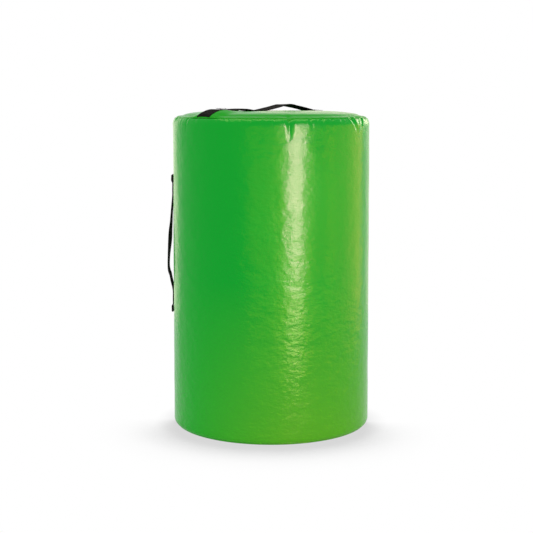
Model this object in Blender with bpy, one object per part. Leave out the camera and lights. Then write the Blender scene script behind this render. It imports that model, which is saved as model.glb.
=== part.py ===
"""Tackling bag: a foam cylinder in a coated-fabric cover that stands on its base.

The cover is a side panel closed by a seam down the back, a crowned top panel, a flat base panel
and a low foot band across the back. All seams are plain ones with both edges turned inwards.
Between the foot band and the side panel a zip lets the foam in and out. One webbing handle
crosses the top and another runs down the left side.

The bag stands on z = 0 with its axis on Z. The side handle is at -X and the zip faces +Y.
Lengths are in metres. Angles are in degrees, anticlockwise from +X seen from above.
"""

import math

import bmesh
import bpy
from mathutils import Vector

# Whole bag
bag_diameter = 0.450
rim_height = 0.720
foot_spread = 0.003
top_edge_radius = 0.023
base_edge_radius = 0.015
crown_slope = 10.4
crown_power = 3
crown_ring_share = 0.40

# Cover cloth and its seams
cloth = 0.0012
top_seam_angle = 45
base_seam_angle = -45
top_seam_depth = 0.012
base_seam_depth = 0.010
back_seam_angle = 90
back_seam_depth = 0.012
thread = 0.0008
thread_inset = 0.003

# Clearance between pieces that lie against each other
gap = 0.0003

# Corners round the cover and its pads, and round the inner foam, which has every second one
cover_step = 5
foam_step = 10

# Faces that meet at less than this angle are shaded as one surface
smooth_angle = 30

# Foam
core_diameter = 0.240
base_pad_thickness = 0.040
top_pad_thickness = 0.050
seam_slit_margin = 0.0010
foam_edge_ease = 0.0008

# Webbing of both handles
webbing_width = 0.040
webbing_thickness = 0.002
fold_radius = 0.0012
fold_steps = 4
stitch_box_length = 0.030
stitch_box_width = 0.030
stitch_box_margin = 0.005

# Top handle: its front end is at this angle, and it is slack enough for a hand
top_handle_angle = 230
top_handle_rise = 0.0095
top_handle_end_angle = 52
top_handle_box_inset = 0.057
# Places along the free part, as shares of it from front to back, and shares of the rise
top_handle_wave_shares = (
    (0.000, 0.00),
    (0.080, 0.32),
    (0.160, 0.10),
    (0.250, 0.00),
    (0.370, 0.03),
    (0.460, 0.28),
    (0.540, 0.54),
    (0.610, 0.80),
    (0.680, 1.00),
    (0.725, 0.96),
    (0.770, 0.80),
    (0.850, 0.55),
    (0.930, 0.27),
    (1.000, 0.00),
)

# Side handle: both ends have a narrow hem, and the middle stands off the cover
side_handle_angle = 180
side_handle_drop = 0.137
side_handle_length = 0.320
side_handle_hem = 0.013
side_handle_hem_run = 0.005
side_handle_rise = 0.012
# Places down the free part, as shares of its length from the top, and shares of the rise
side_handle_wave_shares = (
    (0.00, 0.00),
    (0.11, 0.17),
    (0.19, 0.29),
    (0.28, 0.40),
    (0.36, 0.55),
    (0.45, 0.65),
    (0.54, 0.79),
    (0.62, 0.92),
    (0.70, 1.00),
    (0.78, 1.00),
    (0.84, 0.85),
    (0.88, 0.52),
    (0.92, 0.30),
    (0.96, 0.14),
    (1.00, 0.00),
)

# Reinforcements sewn inside the cover behind the handle ends
patch_height = 0.062
patch_half_angle = 9.7
doubler_inset = 0.0454

# Zip across the back, between the foot band and the side panel
zip_height = 0.075
zip_start = 10
zip_end = 170
zip_slot_half = 0.0072
zip_tape_reach = 0.022
zip_tape_thickness = 0.0008
zip_end_margin = 0.3
coil_half_width = 0.004
coil_thickness = 0.003
coil_inset_angle = 12
clip_length = 0.0047
clip_gap = 0.0016
zip_thread_inset = 0.004

# Tabs sewn over the two ends of the zip and the ends of the foot band
tab_half_angle = 4.8
tab_top = 0.104

# Zip slider: along its length, across it and through it
slider_inset_angle = 12.5
slider_length = 0.022
slider_plate = 0.0012
slider_clearance = 0.0006
slider_lip = 0.0008
slider_nose_half = 0.0062
slider_tail_half = 0.0054
slider_lip_share = 0.86
slider_post_share = 0.28
slider_post_start = 0.0015
slider_post_length = 0.0030
slider_bail_length = 0.0130
slider_bail_bar = 0.0012
slider_bail_gap = 0.0030
coil_post_gap = 0.0008

# Pull tab, hinged under the slider's bail
puller_length = 0.036
puller_half_width = 0.0048
puller_thickness = 0.0014
puller_bar = 0.0016
puller_window = 0.0086
puller_window_share = 0.56
# Shares of the length beyond the window, and of the half width there
puller_outline_shares = (
    (0.12, 1.00),
    (0.55, 0.92),
    (0.88, 0.82),
    (0.96, 0.66),
    (1.00, 0.36),
)

# Room in the foam round the zip
zip_pocket_depth = 0.0072
zip_pocket_half = 0.0235
patch_pocket_depth = 0.0036

# Worked out from the sizes above
bag_radius = bag_diameter / 2
foot_radius = bag_radius + foot_spread
wall_top = rim_height - top_edge_radius
wall_foot = base_edge_radius
lining = cloth + gap
crown_arc = 90 - crown_slope
crown_edge = bag_radius - top_edge_radius * (1 - math.cos(math.radians(crown_arc)))
crown_edge_height = wall_top + top_edge_radius * math.sin(math.radians(crown_arc))
crown_rise = crown_edge * math.tan(math.radians(crown_slope)) / crown_power
doubler_radius = crown_edge - doubler_inset
top_box_middle = crown_edge - top_handle_box_inset
stitch_box_reach = stitch_box_length / 2 + stitch_box_margin
crown_rings = (
    crown_edge * crown_ring_share,
    top_box_middle - stitch_box_reach,
    top_box_middle + stitch_box_reach,
)
top_handle_free_reach = top_box_middle - stitch_box_length / 2 - gap
side_handle_top = rim_height - side_handle_drop
side_handle_bottom = side_handle_top - side_handle_length
base_pad_top = lining + base_pad_thickness
top_pad_bottom = rim_height - lining - top_pad_thickness
seam_slit_half = gap / 2 + cloth + gap + thread + gap
back_slit_angle = math.degrees(seam_slit_half / bag_radius)
zip_slot_low = zip_height - zip_slot_half
zip_slot_high = zip_height + zip_slot_half
foot_joint_angle = math.degrees(gap / bag_radius)
slider_angle = zip_start + slider_inset_angle
coil_end = zip_end - coil_inset_angle
clip_angle = math.degrees(clip_length / bag_radius)
clip_gap_angle = math.degrees(clip_gap / bag_radius)
tape_high = zip_height + zip_tape_reach
back_seam_low = tape_high + gap
back_seam_high = top_pad_bottom - 2 * gap


# Shapes in a plane


def polar(middle, radius, angle):
    """Point at an angle on a circle in the plane of radius and height."""
    turn = math.radians(angle)
    return (middle[0] + radius * math.cos(turn), middle[1] + radius * math.sin(turn))


def offset_path(path, distance):
    """Path moved sideways to its left, with mitred corners."""
    sides = []
    for start, end in zip(path, path[1:]):
        along = Vector((end[0] - start[0], end[1] - start[1])).normalized()
        sides.append(Vector((-along.y, along.x)))
    moved = []
    for place, (x, y) in enumerate(path):
        before = sides[max(place - 1, 0)]
        after = sides[min(place, len(sides) - 1)]
        mitre = (before + after) / (1 + before.dot(after))
        moved.append((x + mitre.x * distance, y + mitre.y * distance))
    return moved


def wall_radius(height):
    """Radius of the cover's outer face on the straight wall."""
    return bag_radius + foot_spread * (wall_top - height) / (wall_top - wall_foot)


def crown_height(radius):
    """Height of the smooth crown, which is flattest in the middle."""
    return crown_edge_height + crown_rise * (1 - (radius / crown_edge) ** crown_power)


def crown_facet_height(radius):
    """Height of the cover's outer face on the crown, which is straight from ring to ring."""
    rings = (0, *crown_rings, crown_edge)
    for inner, outer in zip(rings, rings[1:]):
        if radius <= outer:
            share = (radius - inner) / (outer - inner)
            rise = crown_height(outer) - crown_height(inner)
            return crown_height(inner) + share * rise
    return crown_edge_height


# Solids


def spot(radius, angle, height):
    """Point on the many-sided cover whose corners lie on the circle of this radius."""
    middle = cover_step / 2
    past_corner = angle % cover_step - middle
    reach = radius * math.cos(math.radians(middle)) / math.cos(math.radians(past_corner))
    turn = math.radians(angle)
    return Vector((reach * math.cos(turn), reach * math.sin(turn), height))


def paint(solid, colour, roughness, metallic):
    """Give the solid its own material."""
    material = bpy.data.materials.new(solid.name + "_material")
    material.use_nodes = True
    shader = material.node_tree.nodes["Principled BSDF"]
    shader.inputs["Base Color"].default_value = (*colour, 1)
    shader.inputs["Roughness"].default_value = roughness
    shader.inputs["Metallic"].default_value = metallic
    solid.data.materials.append(material)


def solid_of(name, faces, look):
    """Object made of faces, each a list of points, with equal points joined."""
    welded = bmesh.new()
    corners = {}
    for face in faces:
        loop = []
        for point in face:
            key = tuple(round(value, 7) for value in point)
            if key not in corners:
                corners[key] = welded.verts.new(point)
            if corners[key] not in loop:
                loop.append(corners[key])
        if len(loop) > 2:
            welded.faces.new(loop)
    bmesh.ops.recalc_face_normals(welded, faces=welded.faces)
    mesh = bpy.data.meshes.new(name)
    welded.to_mesh(mesh)
    welded.free()
    mesh.shade_smooth()
    mesh.set_sharp_from_angle(angle=math.radians(smooth_angle))
    solid = bpy.data.objects.new(name, mesh)
    bpy.context.collection.objects.link(solid)
    paint(solid, *look)
    return solid


def block_faces(counts, filled, point, ring=False):
    """Outer faces of the filled cells of a grid, which closes on itself where it is a ring."""
    faces = []

    def is_filled(cell):
        if ring:
            cell = (cell[0] % counts[0], cell[1], cell[2])
        inside = all(0 <= cell[axis] < counts[axis] for axis in range(3))
        return inside and filled(*cell)

    for i in range(counts[0]):
        for j in range(counts[1]):
            for k in range(counts[2]):
                if not is_filled((i, j, k)):
                    continue
                for axis in range(3):
                    for side in (0, 1):
                        beside = [i, j, k]
                        beside[axis] += 2 * side - 1
                        if is_filled(beside):
                            continue
                        across, up = [other for other in range(3) if other != axis]
                        face = []
                        for a, b in ((0, 0), (1, 0), (1, 1), (0, 1)):
                            corner = [i, j, k]
                            corner[axis] += side
                            corner[across] += a
                            corner[up] += b
                            face.append(point(*corner))
                        faces.append(face)
    return faces


def always(*cell):
    """Every cell of a grid is filled."""
    return True


def turned(name, outline, step, look):
    """Solid of revolution from a closed outline of radius and height."""
    faces = []
    for angle in range(0, 360, step):
        for (r1, z1), (r2, z2) in zip(outline, outline[1:] + outline[:1]):
            faces.append(
                [
                    spot(r1, angle, z1),
                    spot(r1, angle + step, z1),
                    spot(r2, angle + step, z2),
                    spot(r2, angle, z2),
                ]
            )
    return solid_of(name, faces, look)


def sheet(name, columns, outer, thickness, look, filled=always, ring=False):
    """Sheet over columns of angles and rows of an outer profile, with its inside to the left."""
    inner = offset_path(outer, thickness)
    layers = (outer, inner)

    def point(column, row, layer):
        radius, height = layers[layer][row]
        return spot(radius, columns[column % len(columns)], height)

    spans = len(columns) if ring else len(columns) - 1
    faces = block_faces((spans, len(outer) - 1, 1), filled, point, ring)
    return solid_of(name, faces, look)


def ribbon(name, path, place, look):
    """Strap of webbing along a path, set in space by a function of path point and side."""
    layers = (
        offset_path(path, webbing_thickness / 2),
        offset_path(path, -webbing_thickness / 2),
    )

    def point(step, side, layer):
        return place(layers[layer][step], (side - 1 / 2) * webbing_width)

    faces = block_faces((len(path) - 1, 1, 1), always, point)
    return solid_of(name, faces, look)


def stitch_box(name, place):
    """Square of thread with a cross in it, set in space by a function of length and width."""
    rim = []
    for length, width in ((-1, -1), (1, -1), (1, 1), (-1, 1)):
        rim.append(place(length * stitch_box_length / 2, width * stitch_box_width / 2))
    middle = place(0, 0)
    faces = [[rim[side - 1], rim[side], middle] for side in range(4)]
    box = solid_of(name, faces, thread_look)
    wire = box.modifiers.new("thread", "WIREFRAME")
    wire.thickness = thread
    wire.use_even_offset = True
    wire.use_boundary = True
    wire.use_replace = True
    return box


# Looks: colour, roughness and metallic
cover_look = ((0.004, 0.330, 0.035), 0.35, 0.0)
seam_look = ((0.004, 0.260, 0.030), 0.40, 0.0)
webbing_look = ((0.012, 0.012, 0.013), 0.85, 0.0)
thread_look = ((0.020, 0.020, 0.022), 0.70, 0.0)
tape_look = ((0.014, 0.014, 0.015), 0.90, 0.0)
coil_look = ((0.018, 0.018, 0.019), 0.45, 0.0)
metal_look = ((0.420, 0.420, 0.430), 0.35, 1.0)
core_look = ((0.250, 0.230, 0.330), 0.95, 0.0)
wrap_look = ((0.720, 0.700, 0.620), 0.95, 0.0)
pad_look = ((0.300, 0.330, 0.380), 0.95, 0.0)


# Profiles of the cover, each with the inside of the bag to its left


top_edge_middle = (bag_radius - top_edge_radius, wall_top)
base_edge_middle = (foot_radius - base_edge_radius, wall_foot)
top_seam_ease = math.degrees(math.asin(gap / 2 / top_edge_radius))
base_seam_ease = math.degrees(math.asin(gap / 2 / base_edge_radius))


def turned_in(corner, seam_angle, depth):
    """End of a seam edge that runs from its corner on the surface into the bag."""
    return polar(corner, -depth, seam_angle)


def foot_rows():
    """Profile from the base seam up to the foot of the wall."""
    corner = polar(base_edge_middle, base_edge_radius, base_seam_angle + base_seam_ease)
    return [
        turned_in(corner, base_seam_angle, base_seam_depth),
        corner,
        polar(base_edge_middle, base_edge_radius, base_seam_angle / 2),
        (foot_radius, wall_foot),
    ]


def wall_rows(heights):
    """Profile of the straight wall at the given heights."""
    return [(wall_radius(height), height) for height in heights]


def rim_rows():
    """Profile from the top of the wall to the top seam."""
    corner = polar(top_edge_middle, top_edge_radius, top_seam_angle - top_seam_ease)
    return [
        (bag_radius, wall_top),
        polar(top_edge_middle, top_edge_radius, top_seam_angle / 2),
        corner,
        turned_in(corner, top_seam_angle, top_seam_depth),
    ]


def crown_rows():
    """Profile of the top panel from its seam edge to the middle."""
    corner = polar(top_edge_middle, top_edge_radius, top_seam_angle + top_seam_ease)
    bend = polar(top_edge_middle, top_edge_radius, (top_seam_angle + crown_arc) / 2)
    rows = [turned_in(corner, top_seam_angle, top_seam_depth), corner, bend]
    for radius in (crown_edge, *reversed(crown_rings), 0):
        rows.append((radius, crown_height(radius)))
    return rows


def base_rows():
    """Profile of the base panel from the middle to its seam edge."""
    corner = polar(base_edge_middle, base_edge_radius, base_seam_angle - base_seam_ease)
    bend = polar(base_edge_middle, base_edge_radius, (base_seam_angle - 90) / 2)
    return [
        (0, 0),
        (foot_radius - base_edge_radius, 0),
        bend,
        corner,
        turned_in(corner, base_seam_angle, base_seam_depth),
    ]


# Cover


def angles_between(start, end):
    """Corners of the cover from one angle to another, with both of them."""
    first = math.floor(start / cover_step) + 1
    last = math.ceil(end / cover_step)
    return [start, *[corner * cover_step for corner in range(first, last)], end]


def side_panel():
    """Sheet round the bag from the back seam to the back seam, cut away below the zip."""
    rows = foot_rows() + wall_rows((zip_slot_high, back_seam_low, back_seam_high)) + rim_rows()
    inner = offset_path(rows, cloth)
    layers = (rows, inner)
    columns = angles_between(back_seam_angle, back_seam_angle + 360)
    first_wall_row = len(foot_rows())
    seam_row = first_wall_row + 1

    def point(column, row, layer):
        radius, height = layers[layer][row]
        edge = min(column, len(columns) + 1 - column)
        if edge > 1:
            return spot(radius, columns[column - 1], height)
        side = -1 if column < 2 else 1
        across = side * (gap / 2 + cloth * layer)
        reach = radius if edge == 1 else rows[row][0] - back_seam_depth
        return Vector((across, reach, height))

    def filled(column, row, layer):
        if column in (0, len(columns)):
            return row == seam_row
        middle = (columns[column - 1] + columns[column]) / 2 % 360
        return row >= first_wall_row or not zip_start < middle < zip_end

    faces = block_faces((len(columns) + 1, len(rows) - 1, 1), filled, point)
    return solid_of("side_panel", faces, cover_look)


def cover():
    """Side panel, foot band, top panel and base panel."""
    side_panel()
    band_angles = angles_between(zip_start + foot_joint_angle, zip_end - foot_joint_angle)
    band = foot_rows() + wall_rows((zip_slot_low,))
    sheet("foot_band", band_angles, band, cloth, cover_look)
    around = range(0, 360, cover_step)
    sheet("top_panel", around, crown_rows(), cloth, cover_look, ring=True)
    sheet("base_panel", around, base_rows(), cloth, cover_look, ring=True)


def seam_threads():
    """Rows of thread that hold the two rim seams and the back seam, all inside the bag."""
    around = range(0, 360, cover_step)
    below_top = top_seam_depth - thread_inset
    past_cloth = gap / 2 + cloth + gap
    top_row = []
    for depth in (below_top - thread, below_top):
        on_seam = polar(top_edge_middle, top_edge_radius - depth, top_seam_angle)
        top_row.append(polar(on_seam, past_cloth, top_seam_angle - 90))
    sheet("top_seam_thread", around, top_row, thread, thread_look, ring=True)
    below_base = base_seam_depth - thread_inset
    base_row = []
    for depth in (below_base, below_base - thread):
        on_seam = polar(base_edge_middle, base_edge_radius - depth, base_seam_angle)
        base_row.append(polar(on_seam, past_cloth, base_seam_angle + 90))
    sheet("base_seam_thread", around, base_row, thread, thread_look, ring=True)
    ends = (back_seam_low + thread_inset, back_seam_high - thread_inset)

    def point(column, row, layer):
        across = past_cloth + column * thread
        height = ends[row]
        reach = wall_radius(height) - back_seam_depth + thread_inset + layer * thread
        return Vector((across, reach, height))

    faces = block_faces((1, 1, 1), always, point)
    solid_of("back_seam_thread", faces, thread_look)


# Foam


def slit_points(middle, radius, angle, depth):
    """Slit in the foam for a seam turned into the bag: in along one side, out along the other."""
    half_turn = math.degrees(math.asin(seam_slit_half / radius))
    first = polar(middle, radius, angle - half_turn)
    last = polar(middle, radius, angle + half_turn)
    inward = depth - lining + seam_slit_margin
    return [
        first,
        turned_in(first, angle, inward),
        turned_in(last, angle, inward),
        last,
    ]


def base_pad():
    """Firm disc at the foot of the bag."""
    edge = base_edge_radius - lining - foam_edge_ease
    slit = slit_points(base_edge_middle, edge, base_seam_angle, base_seam_depth)
    outline = [
        (0, lining),
        (base_edge_middle[0], lining),
        *slit,
        (foot_radius - lining, wall_foot),
        (wall_radius(base_pad_top) - lining, base_pad_top),
        (0, base_pad_top),
    ]
    turned("foam_base_pad", outline, cover_step, pad_look)


def doubler_rings():
    """Rings of the crown that lie over the doubler, from the outermost to the middle."""
    return [ring for ring in (*reversed(crown_rings), 0) if ring < doubler_radius]


def top_pad():
    """Crowned disc under the top panel, lower in the middle where the doubler lies."""
    edge = top_edge_radius - lining - foam_edge_ease
    slit = slit_points(top_edge_middle, edge, top_seam_angle, top_seam_depth)
    step_radius = doubler_radius + gap
    outline = [
        (0, top_pad_bottom),
        (wall_radius(top_pad_bottom) - lining, top_pad_bottom),
        (bag_radius - lining, wall_top),
        *slit,
        (crown_edge, crown_edge_height - lining),
    ]
    for ring in reversed(crown_rings):
        if ring > step_radius:
            outline.append((ring, crown_height(ring) - lining))
    step_height = crown_facet_height(step_radius) - lining
    outline.append((step_radius, step_height))
    outline.append((step_radius, step_height - lining))
    for ring in doubler_rings():
        outline.append((ring, crown_height(ring) - 2 * lining))
    turned("foam_top_pad", outline, cover_step, pad_look)


def doubler():
    """Round reinforcement under the crown that spreads the pull of the top handle."""
    rows = [(doubler_radius, crown_facet_height(doubler_radius) - lining)]
    for ring in doubler_rings():
        rows.append((ring, crown_height(ring) - lining))
    around = range(0, 360, cover_step)
    sheet("top_doubler", around, rows, cloth, seam_look, ring=True)


def foam_wrap():
    """Soft outer ring, open along the back seam, with pockets behind the zip and the patches."""
    low = base_pad_top + gap
    high = top_pad_bottom - gap
    pocket = patch_height / 2 + gap
    upper, lower = side_stitch_heights()
    heights = [
        low,
        zip_height - zip_pocket_half,
        zip_height + zip_pocket_half,
        lower - pocket,
        lower + pocket,
        upper - pocket,
        upper + pocket,
        high,
    ]
    depths = (lining, patch_pocket_depth, zip_pocket_depth)
    first = back_seam_angle + back_slit_angle
    columns = [first, *range(back_seam_angle + foam_step, back_seam_angle + 360, foam_step)]
    columns.append(back_seam_angle + 360 - back_slit_angle)

    def point(column, row, layer):
        height = heights[row]
        if layer == len(depths):
            return spot(core_diameter / 2 + gap, columns[column], height)
        return spot(wall_radius(height) - depths[layer], columns[column], height)

    def filled(column, row, layer):
        middle = (columns[column] + columns[column + 1]) / 2 % 360
        behind_zip = row == 1 and zip_start < middle < zip_end
        behind_handle = abs(middle - side_handle_angle) < foam_step
        behind_patch = row in (3, 5) and behind_handle
        if behind_zip:
            return layer == 2
        return layer > 0 or not behind_patch

    faces = block_faces((len(columns) - 1, len(heights) - 1, len(depths)), filled, point)
    solid_of("foam_wrap", faces, wrap_look)


def foam():
    """Dense core, soft ring round it, firm base pad and crowned top pad."""
    radius = core_diameter / 2
    low = base_pad_top + gap
    high = top_pad_bottom - gap
    outline = [(0, low), (radius, low), (radius, high), (0, high)]
    turned("foam_core", outline, foam_step, core_look)
    foam_wrap()
    base_pad()
    top_pad()


# Handles


def strap_height(reach):
    """Height of the strap's middle line where it lies on the crown."""
    return crown_facet_height(reach) + gap + webbing_thickness / 2


def top_strap_path():
    """Middle line of the top handle from front to back, as reach and height."""
    lift = gap + webbing_thickness / 2
    rim = []
    for angle in (top_handle_end_angle, (top_handle_end_angle + crown_arc) / 2, crown_arc):
        rim.append(polar(top_edge_middle, top_edge_radius + lift, angle))
    path = [(-reach, height) for reach, height in rim]
    beyond_box = crown_rings[-1]
    path.append((-beyond_box, strap_height(beyond_box)))
    for place, rise in top_handle_wave_shares:
        reach = top_handle_free_reach * (2 * place - 1)
        path.append((reach, strap_height(abs(reach)) + rise * top_handle_rise))
    path.append((beyond_box, strap_height(beyond_box)))
    path.extend((reach, height) for reach, height in reversed(rim))
    return path


def top_handle():
    """Webbing across the crown, with a stitched box near each end."""
    turn = math.radians(top_handle_angle)
    forward = Vector((math.cos(turn), math.sin(turn), 0))
    aside = Vector((-math.sin(turn), math.cos(turn), 0))

    def place(spot_on_path, width):
        reach, height = spot_on_path
        return -reach * forward + width * aside + Vector((0, 0, height))

    ribbon("top_handle", top_strap_path(), place, webbing_look)
    for name, side in (("top_stitch_front", -1), ("top_stitch_back", 1)):

        def on_strap(length, width, side=side):
            reach = top_box_middle + length
            lift = strap_height(reach) + webbing_thickness / 2 + gap + thread / 2
            return place((side * reach, lift), width)

        stitch_box(name, on_strap)


def side_stitch_heights():
    """Heights of the middles of the two stitched ends of the side handle, upper first."""
    inset = side_handle_hem + side_handle_hem_run + gap + stitch_box_length / 2
    return (side_handle_top - inset, side_handle_bottom + inset)


def side_strap_path():
    """Middle line of the side handle from the upper hem down, as height and stand-off."""
    under = gap + webbing_thickness / 2
    over = under + 2 * fold_radius
    edge = fold_radius + webbing_thickness / 2

    def hem(end, side):
        points = [(end - side * side_handle_hem, under)]
        for step in range(fold_steps + 1):
            turn = math.pi * step / fold_steps
            height = end - side * (edge - fold_radius * math.sin(turn))
            points.append((height, under + fold_radius * (1 - math.cos(turn))))
        points.append((end - side * (side_handle_hem + gap), over))
        points.append((end - side * (side_handle_hem + side_handle_hem_run), under))
        return points

    upper, lower = side_stitch_heights()
    free_top = upper - stitch_box_length / 2 - gap
    free_bottom = lower + stitch_box_length / 2 + gap
    path = hem(side_handle_top, 1)
    for place, rise in side_handle_wave_shares:
        height = free_top + place * (free_bottom - free_top)
        path.append((height, under + rise * side_handle_rise))
    path.extend(reversed(hem(side_handle_bottom, -1)))
    return path


def side_handle():
    """Webbing down the left side, with a stitched box inside the hem at each end."""

    def place(spot_on_path, width):
        height, stand_off = spot_on_path
        return Vector((-wall_radius(height) - stand_off, -width, height))

    ribbon("side_handle", side_strap_path(), place, webbing_look)
    over = gap + webbing_thickness + gap + thread / 2
    ends = zip(("side_stitch_upper", "side_stitch_lower"), side_stitch_heights())
    for name, middle in ends:

        def on_strap(length, width, middle=middle):
            return place((middle + length, over), width)

        stitch_box(name, on_strap)


def patches():
    """Pieces of cover cloth inside the side panel, behind the side handle's stitched ends."""
    start = side_handle_angle - patch_half_angle
    columns = angles_between(start, side_handle_angle + patch_half_angle)
    names = zip(("side_patch_upper", "side_patch_lower"), side_stitch_heights())
    for name, middle in names:
        rows = wall_rows((middle - patch_height / 2, middle + patch_height / 2))
        inside = offset_path(rows, lining)
        sheet(name, columns, inside, cloth, seam_look)


# Zip


def tape_face():
    """Depth of the tapes' outer face below the cover's outer face."""
    return lining


def coil_face():
    """Depth of the coils' outer face below the cover's outer face."""
    return tape_face() + zip_tape_thickness / 2 - coil_thickness / 2


def zip_strips():
    """Tapes, coils, rows of thread and end clips."""
    tape_angles = angles_between(zip_start + zip_end_margin, zip_end - zip_end_margin)
    tab_reach = tab_half_angle + zip_end_margin
    thread_angles = angles_between(zip_start + tab_reach, zip_end - tab_reach)
    coil_angles = angles_between(coil_start(), coil_end)
    slider_reach = math.degrees(slider_length / 2 / bag_radius)
    nose_clip = slider_angle - slider_reach - clip_gap_angle
    nose_angles = (nose_clip - clip_angle, nose_clip)
    tail_angles = (coil_end + clip_gap_angle, coil_end + clip_gap_angle + clip_angle)

    def strip(name, angles, heights, depth, thickness, look):
        rows = [(wall_radius(zip_height) - depth, height) for height in heights]
        sheet(name, angles, rows, thickness, look)

    for side, name in ((1, "upper"), (-1, "lower")):

        def band(near, far, side=side):
            return sorted((zip_height + side * near, zip_height + side * far))

        coil = band(gap / 2, coil_half_width)
        tape = band(coil_half_width + gap, zip_tape_reach)
        row_near = zip_slot_half + zip_thread_inset
        row = band(row_near, row_near + thread)
        clip = band(gap / 2, coil_half_width)
        strip("zip_tape_" + name, tape_angles, tape, tape_face(), zip_tape_thickness, tape_look)
        strip("zip_coil_" + name, coil_angles, coil, coil_face(), coil_thickness, coil_look)
        strip("zip_thread_" + name, thread_angles, row, -gap - thread, thread, thread_look)
        strip("zip_top_clip_" + name, nose_angles, clip, coil_face(), coil_thickness, metal_look)
    whole = (zip_height - coil_half_width, zip_height + coil_half_width)
    strip("zip_end_clip", tail_angles, whole, coil_face(), coil_thickness, metal_look)


def coil_start():
    """Angle where the coils begin, just behind the slider's post."""
    behind_nose = slider_post_start + slider_post_length + coil_post_gap
    return slider_angle + math.degrees((behind_nose - slider_length / 2) / bag_radius)


def end_tabs():
    """Tabs over both ends of the zip and of the foot band."""
    rows = foot_rows()[1:] + wall_rows((zip_slot_low, zip_slot_high, tab_top))
    outside = offset_path(rows, -gap - cloth)
    for name, middle in (("zip_tab_right", zip_start), ("zip_tab_left", zip_end)):
        columns = angles_between(middle - tab_half_angle, middle + tab_half_angle)
        sheet(name, columns, outside, cloth, cover_look)


def slider_frame():
    """Directions of the slider along the zip, up and out, and the point on the coils' middle."""
    turn = math.radians(slider_angle)
    out = Vector((math.cos(turn), math.sin(turn), 0))
    along = Vector((-math.sin(turn), math.cos(turn), 0))
    depth = coil_face() + coil_thickness / 2
    middle = spot(wall_radius(zip_height) - depth, slider_angle, zip_height)
    return middle, along, out


def slider():
    """Two plates joined by a post, with lips along the edges and a bail on the outer plate."""
    middle, along, out = slider_frame()
    nose = -slider_length / 2
    post = nose + slider_post_start
    bail = slider_bail_length / 2
    lengths = (
        nose,
        post,
        post + slider_post_length,
        -bail + slider_bail_bar / 2,
        bail - slider_bail_bar,
        bail,
        slider_length / 2,
    )
    shares = (-1, -slider_lip_share, -slider_post_share)
    shares += tuple(-share for share in reversed(shares))
    inner = coil_thickness / 2 + slider_clearance
    lip = inner - slider_lip
    levels = (
        -inner - slider_plate,
        -inner,
        -lip,
        lip,
        inner,
        inner + slider_plate,
        inner + slider_plate + slider_bail_gap,
        inner + slider_plate + slider_bail_gap + slider_bail_bar,
    )

    def point(step, side, level):
        share = (lengths[step] - nose) / slider_length
        half = slider_nose_half + share * (slider_tail_half - slider_nose_half)
        sideways = Vector((0, 0, shares[side] * half))
        return middle + lengths[step] * along + sideways + levels[level] * out

    def filled(step, side, level):
        in_middle = side == 2
        is_leg = step in (2, 4) and in_middle
        if level in (0, 4):
            return True
        if level in (1, 3):
            return side in (0, 4) or (step == 1 and in_middle)
        if level == 2:
            return step == 1 and in_middle
        if level == 5:
            return is_leg
        return step in (2, 3, 4) and in_middle

    counts = (len(lengths) - 1, len(shares) - 1, len(levels) - 1)
    solid_of("zip_slider", block_faces(counts, filled, point), metal_look)


def puller():
    """Pull tab whose end bar turns under the bail, pointing away from the slider's nose."""
    middle, along, out = slider_frame()
    plate_face = coil_thickness / 2 + slider_clearance + slider_plate
    pivot = middle + (plate_face + slider_bail_gap / 2) * out
    window_end = puller_bar / 2 + puller_window
    lengths = [-puller_bar / 2, puller_bar / 2, window_end]
    halves = [puller_half_width] * len(lengths)
    for share, width_share in puller_outline_shares:
        lengths.append(window_end + share * (puller_length - window_end))
        halves.append(width_share * puller_half_width)
    shares = (-1, -puller_window_share, puller_window_share, 1)

    def point(step, side, layer):
        sideways = Vector((0, 0, shares[side] * halves[step]))
        return lengths[step] * along + sideways + (layer - 1 / 2) * puller_thickness * out

    def filled(step, side, layer):
        return side != 1 or step != 1

    counts = (len(lengths) - 1, len(shares) - 1, 1)
    tab = solid_of("zip_puller", block_faces(counts, filled, point), metal_look)
    tab.location = pivot


def clear_scene():
    """Remove every object."""
    for old in list(bpy.data.objects):
        bpy.data.objects.remove(old)


clear_scene()
cover()
seam_threads()
foam()
doubler()
patches()
top_handle()
side_handle()
zip_strips()
end_tabs()
slider()
puller()
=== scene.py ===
# %% [markdown]
# # Tackling bag
#
# A tackling bag is a cylinder of foam in a cover of green PVC-coated cloth. It has a webbing
# handle over its crown and another down its left side, and a zip low across its back. In this
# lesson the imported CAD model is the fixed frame, and every piece that shows is made again with
# the detail the real one has: gathers under the rim, woven webbing, single stitches, zip teeth.

# %% Load the frame
import math
import random

import bmesh
import bpy
import numpy as np
from mathutils import Matrix, Vector, noise


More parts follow.
